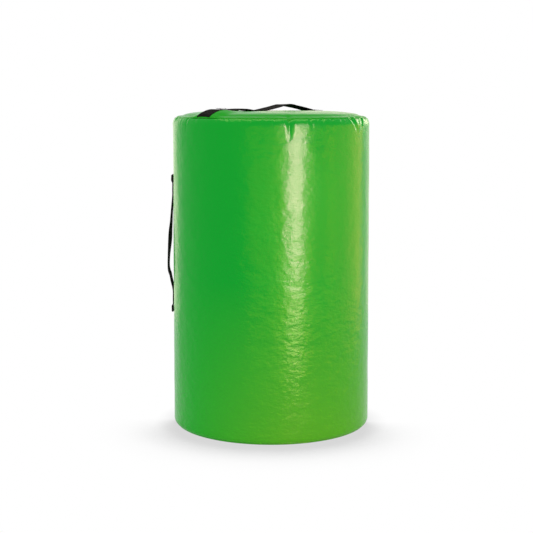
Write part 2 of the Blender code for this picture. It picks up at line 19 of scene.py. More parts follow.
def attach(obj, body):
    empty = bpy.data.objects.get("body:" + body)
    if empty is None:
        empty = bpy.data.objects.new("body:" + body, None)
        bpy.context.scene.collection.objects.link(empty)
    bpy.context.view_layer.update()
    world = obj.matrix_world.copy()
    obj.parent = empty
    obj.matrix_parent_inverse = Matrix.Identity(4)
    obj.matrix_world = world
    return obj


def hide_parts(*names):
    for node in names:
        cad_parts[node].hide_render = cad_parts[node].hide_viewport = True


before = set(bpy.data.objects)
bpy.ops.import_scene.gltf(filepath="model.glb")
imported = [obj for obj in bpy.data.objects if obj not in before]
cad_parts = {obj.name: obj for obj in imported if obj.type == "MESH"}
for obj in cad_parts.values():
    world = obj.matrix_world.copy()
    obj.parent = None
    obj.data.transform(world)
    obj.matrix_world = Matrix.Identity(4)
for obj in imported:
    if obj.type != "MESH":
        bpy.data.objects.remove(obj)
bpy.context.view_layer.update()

# %% [markdown]
# ## Sizes
#
# The pieces go where the CAD solids are, so the same sizes are written here, in metres. The
# wall is a very slight cone, wider at the foot. The crown is nearly flat, stuffed out to a full
# shoulder that falls away to a rounded rim. The rim seam runs halfway round that rounding.

# %% Sizes of the bag
bag_radius = 0.225
foot_spread = 0.003
rim_height = 0.720
rim_rounding = 0.023
foot_rounding = 0.015
wall_top = rim_height - rim_rounding
foot_radius = bag_radius + foot_spread
crown_slope = math.radians(13)
crown_power = 5.3
bulge_rise, bulge_reach = 0.0078, 0.179
bulge_length, bulge_width = 0.034, 0.038
cloth = 0.0012
gap = 0.0003

rim_middle = (bag_radius - rim_rounding, wall_top)
foot_middle = (foot_radius - foot_rounding, foot_rounding)
crown_edge = rim_middle[0] + rim_rounding * math.sin(crown_slope)
crown_edge_height = rim_middle[1] + rim_rounding * math.cos(crown_slope)
crown_rise = crown_edge * math.tan(crown_slope) / crown_power


def wall_radius(height):
    """Radius of the cover's outer face on the wall."""
    return bag_radius + foot_spread * (wall_top - height) / (wall_top - foot_rounding)


def crown_height(radius):
    """Height of the cover's outer face on the crown."""
    return crown_edge_height + crown_rise * (1 - min(radius / crown_edge, 1) ** crown_power)


def hump(value, middle, spread, power=2):
    """Smooth hump: 1 at its middle, and next to nothing two or three spreads away."""
    return np.exp(-np.abs((value - middle) / spread) ** power)


def shoulder_bulge(reach, aside):
    """Extra height of the crown where foam is packed up under the front end of the top handle."""
    along = hump(reach, bulge_reach, bulge_length)
    return bulge_rise * along * hump(aside, 0, bulge_width, 4)


def on_circle(middle, radius, angle):
    """Point of a profile on a circle, with the angle in degrees above the horizontal."""
    turn = math.radians(angle)
    return (middle[0] + radius * math.cos(turn), middle[1] + radius * math.sin(turn))


print(f"crown at {crown_height(0):.4f} m, crown edge at radius {crown_edge:.4f} m")

# %% [markdown]
# ## Camera
#
# The camera is fitted to the outline of the bag in the photograph: a long lens, a little above
# the rim and 2.9 m away, turned slightly so that the bag stands just right of the middle.

# %% Camera
camera_distance = 2.875
camera_height = 0.755
camera_azimuth = math.radians(3)
camera_pitch = math.radians(7.676)
camera_yaw = math.radians(0.216)

camera_data = bpy.data.cameras.new("camera")
camera_data.lens = 83.94
camera_data.sensor_width = 36
camera = bpy.data.objects.new("camera", camera_data)
camera.location = (
    camera_distance * math.sin(camera_azimuth),
    -camera_distance * math.cos(camera_azimuth),
    camera_height,
)
camera.rotation_euler = (math.radians(90) - camera_pitch, 0, camera_azimuth + camera_yaw)
bpy.context.scene.collection.objects.link(camera)
bpy.context.scene.camera = camera
bpy.context.scene.view_settings.view_transform = "Standard"

# %% [markdown]
# ## Node helpers
#
# A material is a small graph. One helper adds a node and fills its sockets, with a plain value
# or with a link, so that each material below reads as a list of steps.


# %% Node helpers
def add(tree, kind, inputs=None, **settings):
    """Add a shader node, set its options, and fill its sockets with values or links."""
    made = tree.nodes.new("ShaderNode" + kind)
    for name, value in settings.items():
        setattr(made, name, value)
    for name, value in (inputs or {}).items():
        if isinstance(value, bpy.types.NodeSocket):
            tree.links.new(value, made.inputs[name])
        else:
            made.inputs[name].default_value = value
    return made


def use_group(tree, group, inputs):
    """Place a node group in a material and fill its sockets."""
    return add(tree, "Group", inputs, node_tree=group)


def calculate(tree, operation, first, second=0.0):
    """Result of one step of arithmetic."""
    return add(tree, "Math", {0: first, 1: second}, operation=operation).outputs[0]


def run_between(tree, value, low, high, start=0.0, end=1.0):
    """Number that runs from start to end while the value runs from low to high."""
    span = {"Value": value, "From Min": low, "From Max": high, "To Min": start, "To Max": end}
    return add(tree, "MapRange", span).outputs[0]


def blend_colours(tree, share, first, second):
    """Colour between two, by share."""
    made = add(tree, "Mix", {0: share, 6: first, 7: second}, data_type="RGBA")
    return made.outputs[2]


def new_group(name, inputs, outputs):
    """Empty node group with named sockets. Each input has a kind and a starting value."""
    tree = bpy.data.node_groups.new(name, "ShaderNodeTree")
    for title, (kind, value) in inputs.items():
        socket = tree.interface.new_socket(title, in_out="INPUT", socket_type="NodeSocket" + kind)
        if value is not None:
            socket.default_value = value
    for title, kind in outputs.items():
        tree.interface.new_socket(title, in_out="OUTPUT", socket_type="NodeSocket" + kind)
    return tree, tree.nodes.new("NodeGroupInput"), tree.nodes.new("NodeGroupOutput")


def new_material(name):
    """Material with its nodes, its shader, and the place in space that patterns are laid by."""
    made = bpy.data.materials.new(name)
    made.use_nodes = True
    tree = made.node_tree
    place = add(tree, "TexCoord").outputs["Object"]
    return made, tree, tree.nodes["Principled BSDF"], place


def join_shader(tree, shader, tone, roughness, heights):
    """Feed the shader its colour, its roughness and a relief of heights in metres."""
    bump = add(tree, "Bump", {"Height": heights, "Distance": 1.0, "Strength": 1.0})
    tree.links.new(tone, shader.inputs["Base Color"])
    tree.links.new(roughness, shader.inputs["Roughness"])
    tree.links.new(bump.outputs[0], shader.inputs["Normal"])


# %% [markdown]
# ## Studio
#
# The photograph has a pure white background and only a soft grey shadow round the foot. The
# world is even white light, which is white for the camera and for reflections too. The floor
# is a plain matt white for all light that falls on it. For the camera and in reflections it is
# white as well, and darkens where the bag stands over it and keeps the light off: a little all
# round the foot, and more in front, as if the softest light came from above and behind.

# %% World
ambient = 0.84
world = bpy.data.worlds.new("white_studio")
bpy.context.scene.world = world
world.use_nodes = True
sky = world.node_tree
sky.nodes.clear()
rays = add(sky, "LightPath")
seen = calculate(sky, "MAXIMUM", rays.outputs["Is Camera Ray"], rays.outputs["Is Glossy Ray"])
seen = calculate(sky, "MAXIMUM", seen, rays.outputs["Is Transmission Ray"])
soft_light = add(sky, "Background", {"Color": (1, 1, 1, 1), "Strength": ambient})
white_wall = add(sky, "Background", {"Color": (1, 1, 1, 1), "Strength": 1.0})
either = add(sky, "MixShader", {0: seen, 1: soft_light.outputs[0], 2: white_wall.outputs[0]})
add(sky, "OutputWorld", {"Surface": either.outputs[0]})

# %% Floor
floor_half = 8
floor_white = (0.94, 0.94, 0.94, 1)
shadow_reach = 0.24
shadow_lean = (0.0, 0.82, 0.57)
shadow_falloff = 3.0
shadow_depth = 10.5
shadow_most = 0.32
shadow_full = -0.20
contact_reach = 0.05
contact_depth = 0.30
shape = bmesh.new()
bmesh.ops.create_grid(shape, x_segments=2, y_segments=2, size=floor_half)
floor_mesh = bpy.data.meshes.new("floor")
shape.to_mesh(floor_mesh)
shape.free()
floor = bpy.data.objects.new("floor", floor_mesh)
bpy.context.scene.collection.objects.link(floor)
floor_paint = bpy.data.materials.new("white_floor")
floor_paint.use_nodes = True
tree = floor_paint.node_tree
tree.nodes.clear()
rays = add(tree, "LightPath")
matt = add(tree, "BsdfDiffuse", {"Color": floor_white})
leaned = {"Distance": shadow_reach, "Normal": shadow_lean}
open_sky = add(tree, "AmbientOcclusion", leaned, samples=12)
covered = calculate(tree, "SUBTRACT", 1.0, open_sky.outputs["AO"])
place = add(tree, "TexCoord").outputs["Object"]
ahead = add(tree, "SeparateXYZ", {0: place}).outputs[1]
near = run_between(tree, ahead, 0.0, shadow_full)
dark = calculate(tree, "MULTIPLY", calculate(tree, "POWER", covered, shadow_falloff), near)
dark = calculate(tree, "MULTIPLY", dark, shadow_depth)
close = add(tree, "AmbientOcclusion", {"Distance": contact_reach}, samples=8)
contact = calculate(tree, "SUBTRACT", 1.0, close.outputs["AO"])
dark = calculate(tree, "ADD", dark, calculate(tree, "MULTIPLY", contact, contact_depth))
bright = calculate(tree, "SUBTRACT", 1.0, calculate(tree, "MINIMUM", dark, shadow_most))
glow = add(tree, "Emission", {"Strength": bright})
seen = calculate(tree, "MAXIMUM", rays.outputs["Is Camera Ray"], rays.outputs["Is Glossy Ray"])
either = add(tree, "MixShader", {0: seen, 1: matt.outputs[0], 2: glow.outputs[0]})
add(tree, "OutputMaterial", {"Surface": either.outputs[0]})
floor_mesh.materials.append(floor_paint)

# %% [markdown]
# ## Lamps
#
# A large soft key lamp on the right gives the even light a direction, so that wrinkles show.
# The other lamps are there for the gloss and light nothing else. The tall highlight right of
# the middle is the reflection of an upright strip near the floor, with a fainter strip below
# it and a wide warm glow round it. A warm panel on the right and paler ones behind edge the
# bag, and a long lamp overhead draws the fine line along the rim seam. A higher one behind on
# the right is what the gathers there catch.


# %% Lamps
front_angle = 273


def strip_lamp(name, angle, distance, height, size, colour, strength):
    """Upright soft lamp that faces the bag's axis, at an angle anticlockwise from the camera."""
    lamp = bpy.data.lights.new(name, "AREA")
    lamp.shape = "RECTANGLE"
    lamp.size, lamp.size_y = size
    lamp.color = colour
    lamp.energy = strength * math.pi * size[0] * size[1]
    holder = bpy.data.objects.new(name, lamp)
    turn = math.radians(front_angle + angle)
    out = Vector((math.cos(turn), math.sin(turn), 0))
    holder.location = out * distance + Vector((0, 0, height))
    holder.rotation_euler = out.to_track_quat("Z", "Y").to_euler()
    holder.visible_camera = False
    bpy.context.scene.collection.objects.link(holder)
    return holder


key = strip_lamp("key", 52, 2.5, 1.3, (1.8, 1.8), (1, 0.98, 0.80), 0.25)
key.visible_glossy = False
# Name, angle, distance, height, width and height of the lamp, colour and strength
gloss_lamps = [
    strip_lamp("highlight_strip", 25.6, 1.15, 0.66, (0.29, 0.72), (1, 0.48, 0.62), 74),
    strip_lamp("low_strip", 25.2, 1.15, 0.16, (0.29, 0.26), (1, 0.58, 0.42), 25),
    strip_lamp("inner_glow", 25, 1.20, 0.40, (0.78, 0.70), (1, 0.58, 0.00), 8.0),
    strip_lamp("warm_glow", 24, 1.60, 0.37, (3.8, 0.72), (1, 0.58, 0.00), 5.6),
    strip_lamp("warm_panel", 94, 1.5, 0.40, (1.7, 0.86), (1, 0.52, 0.02), 4.6),
    strip_lamp("right_edge", 158, 1.6, 0.60, (1.4, 1.5), (1, 0.74, 0.40), 0.45),
    strip_lamp("right_kicker", 128, 1.5, 1.22, (0.7, 0.9), (1, 0.86, 0.66), 10.0),
    strip_lamp("left_edge", -146, 1.6, 0.60, (0.8, 1.5), (1, 0.84, 0.60), 1.1),
    strip_lamp("overhead", 0, 0.35, 2.3, (2.4, 1.1), (1, 0.80, 0.45), 9),
]
# The overhead lamp lies flat and looks straight down
gloss_lamps[-1].rotation_euler = (0, 0, 0)
for lamp in gloss_lamps:
    lamp.visible_diffuse = False

# %% [markdown]
# ## Coated cloth
#
# The cover is woven cloth under a coat of PVC. The weave shows through the coat as a fine even
# imprint, and the coat has shallow soft wrinkles. Both are heights in metres that feed a Bump
# node, so their depths are real ones. The imprint follows the cloth's own UV map, which is in
# metres as well. Low on the bag the colour is painted brighter and yellower as painted light,
# most of all on the front right, where it is a painted warm reflection. The crown is of the same
# cloth. Its coat has lost most of its shine, and its colour is painted yellower as a painted warm
# reflection. It shows the white wall only where one looks along it.

# %% Weave imprint group
imprint, given, result = new_group(
    "weave_imprint",
    {"Cloth": ("Vector", None), "Pitch": ("Float", 0.0014), "Depth": ("Float", 0.00001)},
    {"Height": "Float", "Yarn": "Float"},
)
turns = calculate(imprint, "DIVIDE", math.tau, given.outputs["Pitch"])
parts = add(imprint, "SeparateXYZ", {0: given.outputs["Cloth"]})
warp = calculate(imprint, "SINE", calculate(imprint, "MULTIPLY", parts.outputs[0], turns))
weft = calculate(imprint, "SINE", calculate(imprint, "MULTIPLY", parts.outputs[1], turns))
crossing = calculate(imprint, "MULTIPLY", warp, weft)
imprint.links.new(crossing, result.inputs["Yarn"])
height = calculate(imprint, "MULTIPLY", crossing, given.outputs["Depth"])
imprint.links.new(height, result.inputs["Height"])

# %% Soft wrinkles group
wrinkles, given, result = new_group(
    "soft_wrinkles",
    {
        "Place": ("Vector", None),
        "Count": ("Float", 40.0),
        "Flatness": ("Float", 3.0),
        "Depth": ("Float", 0.00005),
    },
    {"Height": "Float"},
)
stretch = add(wrinkles, "CombineXYZ", {0: 1.0, 1: 1.0, 2: given.outputs["Flatness"]})
squeezed = add(
    wrinkles, "VectorMath", {0: given.outputs["Place"], 1: stretch.outputs[0]}, operation="MULTIPLY"
)
pattern = {"Vector": squeezed.outputs[0], "Scale": given.outputs["Count"], "Detail": 3.0}
cloudy = add(wrinkles, "TexNoise", pattern)
height = calculate(wrinkles, "MULTIPLY", cloudy.outputs[0], given.outputs["Depth"])
wrinkles.links.new(height, result.inputs["Height"])


def wrinkled(tree, place, count, flatness, depth):
    """Height of soft wrinkles, with a count of them per metre."""
    values = {"Place": place, "Count": count, "Flatness": flatness, "Depth": depth}
    return use_group(tree, wrinkles, values).outputs["Height"]


# %% Handling marks group
marks, given, result = new_group(
    "handling_marks",
    {
        "Place": ("Vector", None),
        "Size": ("Float", 6.0),
        "Least": ("Float", 0.3),
        "Most": ("Float", 0.4),
    },
    {"Roughness": "Float", "Mask": "Float"},
)
pattern = {"Vector": given.outputs["Place"], "Scale": given.outputs["Size"], "Detail": 4.0}
patchy = add(marks, "TexNoise", pattern).outputs[0]
spread = run_between(marks, patchy, 0.35, 0.65, given.outputs["Least"], given.outputs["Most"])
marks.links.new(spread, result.inputs["Roughness"])
marks.links.new(patchy, result.inputs["Mask"])


def handled(tree, place, size, least, most):
    """Roughness between two values, and the mask of the patches that it follows."""
    values = {"Place": place, "Size": size, "Least": least, "Most": most}
    made = use_group(tree, marks, values)
    return made.outputs["Roughness"], made.outputs["Mask"]


# %% Coated cloth materials
creases_begin, creases_full, creases_gain = 0.40, 0.28, 2.3
# Where the painted light low on the bag begins and is full, and where the painted warm reflection
# runs
foot_light_begins, foot_light_full = 0.36, -0.01
reflection_left, reflection_right = -0.17, 0.06
reflection_back, reflection_front = 0.14, -0.08


def coated_cloth(
    name,
    colour,
    shade,
    gloss,
    shine=0.105,
    foot_painted_light=(0.018, 0.450, 0.024),
    warm_painted_reflection=(0.120, 0.475, 0.018),
):
    """PVC-coated cloth: weave under the coat, wrinkles, marks, and painted light low down, with a
    painted warm reflection on the front right.
    """
    made, tree, shader, place = new_material(name)
    own_map = add(tree, "UVMap", uv_map="cloth_map").outputs[0]
    weave = use_group(tree, imprint, {"Cloth": own_map, "Pitch": 0.0015, "Depth": 0.000008})
    broad = wrinkled(tree, place, count=36.0, flatness=1.2, depth=0.0016)
    fine = wrinkled(tree, place, count=80.0, flatness=1.6, depth=0.00040)
    across, ahead, up = add(tree, "SeparateXYZ", {0: place}).outputs
    # The fine wrinkles are deeper low on the bag, where the foam settles
    gain = run_between(tree, up, creases_begin, creases_full, 1.0, creases_gain)
    heights = calculate(tree, "ADD", weave.outputs["Height"], broad)
    heights = calculate(tree, "ADD", heights, calculate(tree, "MULTIPLY", fine, gain))
    roughness, mask = handled(tree, place, size=9.0, least=gloss, most=gloss + 0.06)
    tone = blend_colours(tree, mask, (*colour, 1), (*shade, 1))
    # Painted light: low on the bag the colour turns brighter and yellower, and on the front right
    # it takes a painted warm reflection
    foot = run_between(tree, up, foot_light_begins, foot_light_full)
    right = run_between(tree, across, reflection_left, reflection_right)
    front = run_between(tree, ahead, reflection_back, reflection_front)
    reflection_share = calculate(tree, "MULTIPLY", right, front)
    foot_painted_tone = blend_colours(tree, reflection_share, (*foot_painted_light, 1), (*warm_painted_reflection, 1))
    tone = blend_colours(tree, foot, tone, foot_painted_tone)
    join_shader(tree, shader, tone, roughness, heights)
    shader.inputs["Specular IOR Level"].default_value = shine
    return made


cover_cloth = coated_cloth(
    "cover_cloth",
    colour=(0.0008, 0.400, 0.025),
    shade=(0.0016, 0.420, 0.026),
    gloss=0.21,
)
# The crown's colour is painted yellower than the cover's, as a painted warm reflection
crown_cloth = coated_cloth(
    "crown_cloth",
    colour=(0.012, 0.395, 0.018),
    shade=(0.024, 0.410, 0.018),
    gloss=0.17,
    shine=0.026,
)
lining_cloth = coated_cloth(
    "lining_cloth",
    colour=(0.002, 0.250, 0.026),
    shade=(0.003, 0.275, 0.030),
    gloss=0.36,
    foot_painted_light=(0.004, 0.260, 0.026),
    warm_painted_reflection=(0.010, 0.260, 0.026),
)

# %% [markdown]
# ## Piece helpers
#
# Most of the bag is turned about its axis, so one helper spins a profile of radius and height.
# Each finished mesh keeps its object at the origin, rides on a CAD body, and hides the CAD
# nodes it stands for.


# %% Piece helpers
def turned(profile, first=0, last=360, steps=360, closed=False):
    """Shape swept by turning a profile about the bag's axis, from one angle to another."""
    shape = bmesh.new()
    start = math.radians(first)
    line = [shape.verts.new((r * math.cos(start), r * math.sin(start), z)) for r, z in profile]
    ring = line + line[:1] if closed else line
    edges = [shape.edges.new(pair) for pair in zip(ring, ring[1:])]
    bmesh.ops.spin(
        shape,
        geom=line + edges,
        axis=(0, 0, 1),
        cent=(0, 0, 0),
        angle=math.radians(last - first),
        steps=steps,
        use_merge=last - first == 360,
    )
    bmesh.ops.remove_doubles(shape, verts=shape.verts, dist=1e-6)
    bmesh.ops.recalc_face_normals(shape, faces=shape.faces)
    return shape


crowding = 0.5


def crowd_front(shape):
    """Draw the columns of a turned shape together at the front, where they are looked at."""
    for point in shape.verts:
        from_front = math.atan2(point.co.y, point.co.x) + math.pi / 2
        point.co.rotate(Matrix.Rotation(-crowding * math.sin(from_front), 3, "Z"))


def face_out(shape):
    """Turn the faces of an open sheet so that the outermost one looks away from the axis."""
    outermost = max(shape.faces, key=lambda face: face.calc_center_median().xy.length)
    if outermost.normal.xy.dot(outermost.calc_center_median().xy) < 0:
        bmesh.ops.reverse_faces(shape, faces=shape.faces)


def settle(name, shape, material, body="bag", nodes=()):
    """Make a piece of a shape, give it its material, and let it ride and stand for CAD nodes."""
    mesh = bpy.data.meshes.new(name)
    shape.to_mesh(mesh)
    shape.free()
    mesh.shade_smooth()
    mesh.materials.append(material)
    piece = bpy.data.objects.new(name, mesh)
    bpy.context.scene.collection.objects.link(piece)
    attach(piece, body)
    if nodes:
        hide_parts(*nodes)
    print(f"{name}: {len(mesh.polygons)} faces")
    return piece


def thicken(piece, thickness):
    """Give a sheet its thickness, all of it inwards."""
    wall = piece.modifiers.new("thickness", "SOLIDIFY")
    wall.thickness = thickness
    wall.offset = -1


def map_wall(piece):
    """UV map in metres: round the bag along one axis, up it along the other."""
    mesh = piece.data
    layer = mesh.uv_layers.new(name="cloth_map")
    for face in mesh.polygons:
        middle = math.atan2(face.center.y, face.center.x)
        for loop in face.loop_indices:
            point = mesh.vertices[mesh.loops[loop].vertex_index].co
            turn = math.atan2(point.y, point.x)
            turn += math.tau * round((middle - turn) / math.tau)
            layer.data[loop].uv = (turn * bag_radius, point.z)


def wall_sheet(name, shape, material, node, thickness=cloth):
    """Sheet that lies round the bag, with its faces out, its UV map and its thickness."""
    face_out(shape)
    piece = settle(name, shape, material, nodes=[node])
    map_wall(piece)
    thicken(piece, thickness)
    return piece


def map_flat(piece):
    """UV map in metres, looking down on a disc."""
    mesh = piece.data
    layer = mesh.uv_layers.new(name="cloth_map")
    for loop in mesh.loops:
        point = mesh.vertices[loop.vertex_index].co
        layer.data[loop.index].uv = point.xy


# %% [markdown]
# ## Gathers under the rim
#
# The side panel is a little fuller than the top panel it is sewn to, so it puckers along the
# seam. Each pucker is a short groove that starts at the seam and fades down the wall. The ones
# that the photograph shows are listed by their angle from the camera, and the rest, round the
# sides and back, are scattered from a fixed seed.

# %% Puckers
# Angle from the camera in degrees, half width, length and depth in metres, how sharp the ridges
# beside it are, and how far it leans aside for its length
shown_puckers = [
    (-75.0, 0.0075, 0.012, 0.0028, 0.8, 0.0),
    (-63.0, 0.0040, 0.020, 0.0008, 0.5, 0.1),
    (-56.4, 0.0036, 0.028, 0.0013, 0.8, 0.0),
    (-48.0, 0.0040, 0.016, 0.0006, 0.5, 0.1),
    (-24.0, 0.0050, 0.014, 0.0005, 0.3, 0.0),
    (-13.0, 0.0046, 0.016, 0.0006, 0.3, 0.2),
    (1.9, 0.0034, 0.013, 0.0012, 0.6, -0.2),
    (10.0, 0.0066, 0.036, 0.0050, 0.1, 0.02),
    (22.5, 0.0048, 0.020, 0.0012, 0.5, 0.1),
    (29.4, 0.0050, 0.020, 0.0009, 0.5, 0.0),
    (36.5, 0.0040, 0.016, 0.0008, 0.5, 0.1),
    (44.0, 0.0042, 0.018, 0.0008, 0.5, 0.1),
    (53.0, 0.0060, 0.026, 0.0042, 0.8, 0.6),
    (66.0, 0.0060, 0.024, 0.0040, 0.8, -0.6),
    (77.0, 0.0040, 0.020, 0.0014, 0.6, 0.0),
]
dice = random.Random(7)
puckers = [(front_angle + angle, *rest) for angle, *rest in shown_puckers]
# Larger ones from the right edge round the back to the left edge
angle = front_angle + 74
while angle < front_angle + 360 - 80:
    size = dice.uniform(0.3, 1.0)
    shape_of_it = (0.003 + 0.005 * size, 0.010 + 0.028 * size, 0.0004 + 0.0020 * size)
    puckers.append((angle, *shape_of_it, 0.6, dice.uniform(-0.3, 0.3)))
    angle += dice.uniform(5, 13)
# Fine ones between those that the photograph shows
for angle in np.arange(-88, 88, 4.6):
    size = dice.uniform(0.2, 1.0)
    spot = front_angle + angle + dice.uniform(-2, 2)
    shape_of_it = (0.0025 + 0.002 * size, 0.006 + 0.008 * size, 0.0003 + 0.0005 * size)
    puckers.append((spot, *shape_of_it, 0.3, dice.uniform(-0.3, 0.3)))
print(f"{len(puckers)} puckers along the rim seam")


def along_wall(angles, middle):
    """Distance round the wall from a middle angle, at arrays of angles in degrees."""
    return np.radians((angles - middle + 180) % 360 - 180) * bag_radius


def pucker_depth(angles, below):
    """Depth of the puckers at arrays of angles and of distances from the seam."""
    depth = np.zeros_like(angles)
    for middle, half, length, most, sharp, lean in puckers:
        aside = along_wall(angles, middle) - lean * below
        # A pucker narrows as it runs out, and its sides bulge a little
        share = np.clip(1 - below / (1.6 * length), 0, 1)
        spread = half * (0.45 + 0.55 * share)
        groove = hump(aside, 0, spread, 1.5)
        crest = 2.0 * spread
        bulge = min(0.35, 0.7 * sharp) * hump(np.abs(aside), crest, spread)
        ridge = 0.30 * sharp * hump(np.abs(aside), crest, 0.4 * spread)
        depth += most * (groove - bulge - ridge) * share**1.5
    return depth


def soft_waves(points, size, seed):
    """Slow random waves between about -1 and 1 over an array of points."""
    shift = Vector((seed, 0.3 * seed, -seed))
    return np.array([noise.noise(Vector(p) / size + shift) for p in points])


def reshape(piece, move):
    """Move the points of a piece by a function of the array of points."""
    mesh = piece.data
    points = np.empty(len(mesh.vertices) * 3, np.float32)
    mesh.vertices.foreach_get("co", points)
    points = move(points.reshape(-1, 3).astype(float))
    mesh.vertices.foreach_set("co", points.astype(np.float32).ravel())
    mesh.update()


# %% [markdown]
# ## Side panel
#
# The profile runs from the base seam up the wall to the rim seam, and at both seams the cloth
# turns into the bag. Rows are close together where there are puckers and fine wrinkles. The
# panel is spun from its back seam once round, and the part below the zip is cut away.

# %% Side panel profile
zip_height = 0.075
zip_slot_half = 0.0072
zip_start, zip_end = 10, 170
back_seam = 90
seam_depth = 0.012
foot_seam_depth = 0.010
rim_roll = 0.0012
foot_roll = 0.0020
crease_low, crease_high = 0.215, 0.320
gather_low = 0.640


def seam_lip(middle, radius, angle, side, depth, roll):
    """Cloth that rolls over a seam edge and into the bag, from its inner end outwards."""
    turn = math.degrees(roll / radius)
    inner = on_circle(middle, radius - depth, angle + side * math.degrees(gap / 2 / radius))
    rolled = on_circle(middle, radius - roll, angle + side * 0.25 * turn)
    crest = on_circle(middle, radius - 0.3 * roll, angle + side * 0.55 * turn)
    face = on_circle(middle, radius, angle + side * 1.4 * turn)
    return [inner, rolled, crest, face]


foot_curve = seam_lip(foot_middle, foot_rounding, -45, 1, foot_seam_depth, foot_roll)
foot_curve += [on_circle(foot_middle, foot_rounding, a) for a in (-32, -25, -18, -12, -6)]
slot_top = zip_height + zip_slot_half
side_profile = list(foot_curve)
side_profile += [(wall_radius(z), z) for z in np.linspace(foot_rounding, slot_top, 9)]
wall_stops = (slot_top, crease_low, crease_high, gather_low, wall_top)
for low, high, rows in zip(wall_stops, wall_stops[1:], (10, 31, 21, 25)):
    side_profile += [(wall_radius(z), z) for z in np.linspace(low, high, rows)[1:]]
side_profile += [on_circle(rim_middle, rim_rounding, a) for a in (5, 10, 15, 20, 25, 30, 35)]
side_profile += reversed(seam_lip(rim_middle, rim_rounding, 45, -1, seam_depth, rim_roll))

# %% Side panel
shape = turned(side_profile, back_seam, back_seam + 360, 420)
crowd_front(shape)
print("rows of the side panel:", len(side_profile))

# %% [markdown]
# The spin merges its first and last columns, but the panel's own seam is there, so that column
# gets a fine groove. Then the relief goes on: puckers, slow waves, and the few creases that
# the photograph shows low on the front.


# %% Relief of the side panel
def below_rim_seam(radii, heights):
    """Distance down the cloth from the rim seam, over the rounding and then down the wall."""
    rise = np.degrees(np.arctan2(heights - rim_middle[1], np.maximum(radii - rim_middle[0], 1e-6)))
    over_rim = rim_rounding * np.radians(np.clip(45 - rise, 0, 45))
    down_wall = np.clip(wall_top - heights, 0, None)
    return over_rim + down_wall


# Depth, size and seed of the slow waves
side_waves = [(0.0007, 0.16, 3), (0.00025, 0.045, 9)]
still_below = 0.10
crease_tilt = 0.12
rim_turn_height = 0.012
back_groove, back_groove_width, back_groove_fade = 0.0010, 0.0022, 0.01
# Angle from the camera, height, half length, half width and depth
front_creases = [
    (21, 0.074, 0.050, 0.0032, 0.00060),
    (19, 0.030, 0.014, 0.0034, 0.00050),
    (13, 0.3095, 0.022, 0.0028, 0.00014),
    (16, 0.2980, 0.014, 0.0026, 0.00012),
    (12, 0.2766, 0.020, 0.0028, 0.00020),
    (17, 0.2660, 0.016, 0.0026, 0.00018),
    (14, 0.2546, 0.024, 0.0030, 0.00024),
    (12, 0.2430, 0.014, 0.0026, 0.00020),
    (15, 0.2330, 0.022, 0.0030, 0.00024),
    (14, 0.2210, 0.018, 0.0030, 0.00022),
]


def shape_side(points):
    """Side panel with its puckers, waves, creases and back seam."""
    x, y, z = points.T
    radii = np.hypot(x, y)
    angles = np.degrees(np.arctan2(y, x)) % 360
    below = below_rim_seam(radii, z)
    inwards = pucker_depth(angles, below)
    for depth, size, seed in side_waves:
        inwards += depth * np.clip(z / still_below, 0, 1) * soft_waves(points, size, seed)
    for angle, height, half, width, depth in front_creases:
        aside = along_wall(angles, front_angle + angle)
        # Each crease tilts a little, one way or the other
        tilt = crease_tilt * aside * (1 if int(height * 1e4) % 2 else -1)
        inwards += depth * hump(aside, 0, half) * hump(z + tilt, height, width)
    on_wall = np.clip(1 - (z - wall_top) / back_groove_fade, 0, 1)
    in_seam = hump(along_wall(angles, back_seam), 0, back_groove_width)
    inwards += back_groove * in_seam * on_wall
    # On the rim's rounding the cloth sinks downwards as well as inwards
    above = np.clip((z - wall_top) / rim_turn_height, 0, 1)
    scale = 1 - inwards * np.cos(above * math.pi / 4) / radii
    lower = inwards * np.sin(above * math.pi / 4)
    return np.column_stack((x * scale, y * scale, z - lower))


below_zip = [
    face
    for face in shape.faces
    if face.calc_center_median().z < slot_top
    and zip_start < math.degrees(math.atan2(*face.calc_center_median().yx)) < zip_end
]
bmesh.ops.delete(shape, geom=below_zip, context="FACES")
face_out(shape)
cover_side = settle("cover_side", shape, cover_cloth, nodes=["side_panel"])
map_wall(cover_side)
reshape(cover_side, shape_side)
thicken(cover_side, cloth)

# %% [markdown]
# ## Top panel, base panel and foot band
#
# The top panel is a disc with a crown. Its edge meets the side panel's in the rim seam, so it
# takes the same puckers there, but they die out sooner. The shoulder is rounded off by hard
# use, except where the strap holds it. The strap lies in a slight dip.

# %% Top panel
top_profile = seam_lip(rim_middle, rim_rounding, 45, 1, seam_depth, rim_roll)
top_profile += [on_circle(rim_middle, rim_rounding, a) for a in (53, 59, 65, 71)]
crown_radii = [*np.linspace(crown_edge, 0.150, 24), *np.linspace(0.150, 0, 26)[1:-1], 0]
top_profile += [(r, crown_height(r)) for r in crown_radii]
shape = turned(top_profile, 0, 360, 360)
crowd_front(shape)
face_out(shape)
strap_angle = math.radians(230)
strap_forward = np.array((math.cos(strap_angle), math.sin(strap_angle)))
top_waves = [(0.0005, 0.11, 5), (0.0002, 0.035, 8)]
still_radius, still_width = 0.21, 0.03
shoulder_drop, shoulder_radius, shoulder_width = 0.0024, 0.206, 0.0085
top_pucker_share, top_pucker_squeeze, top_pucker_inset = 0.75, 1.9, 0.0067
strap_dip = 0.0005
dip_half, hold_half = 0.026, 0.034
dip_starts, dip_run = 0.02, 0.06
drawn_share, drawn_from = 0.25, 0.2


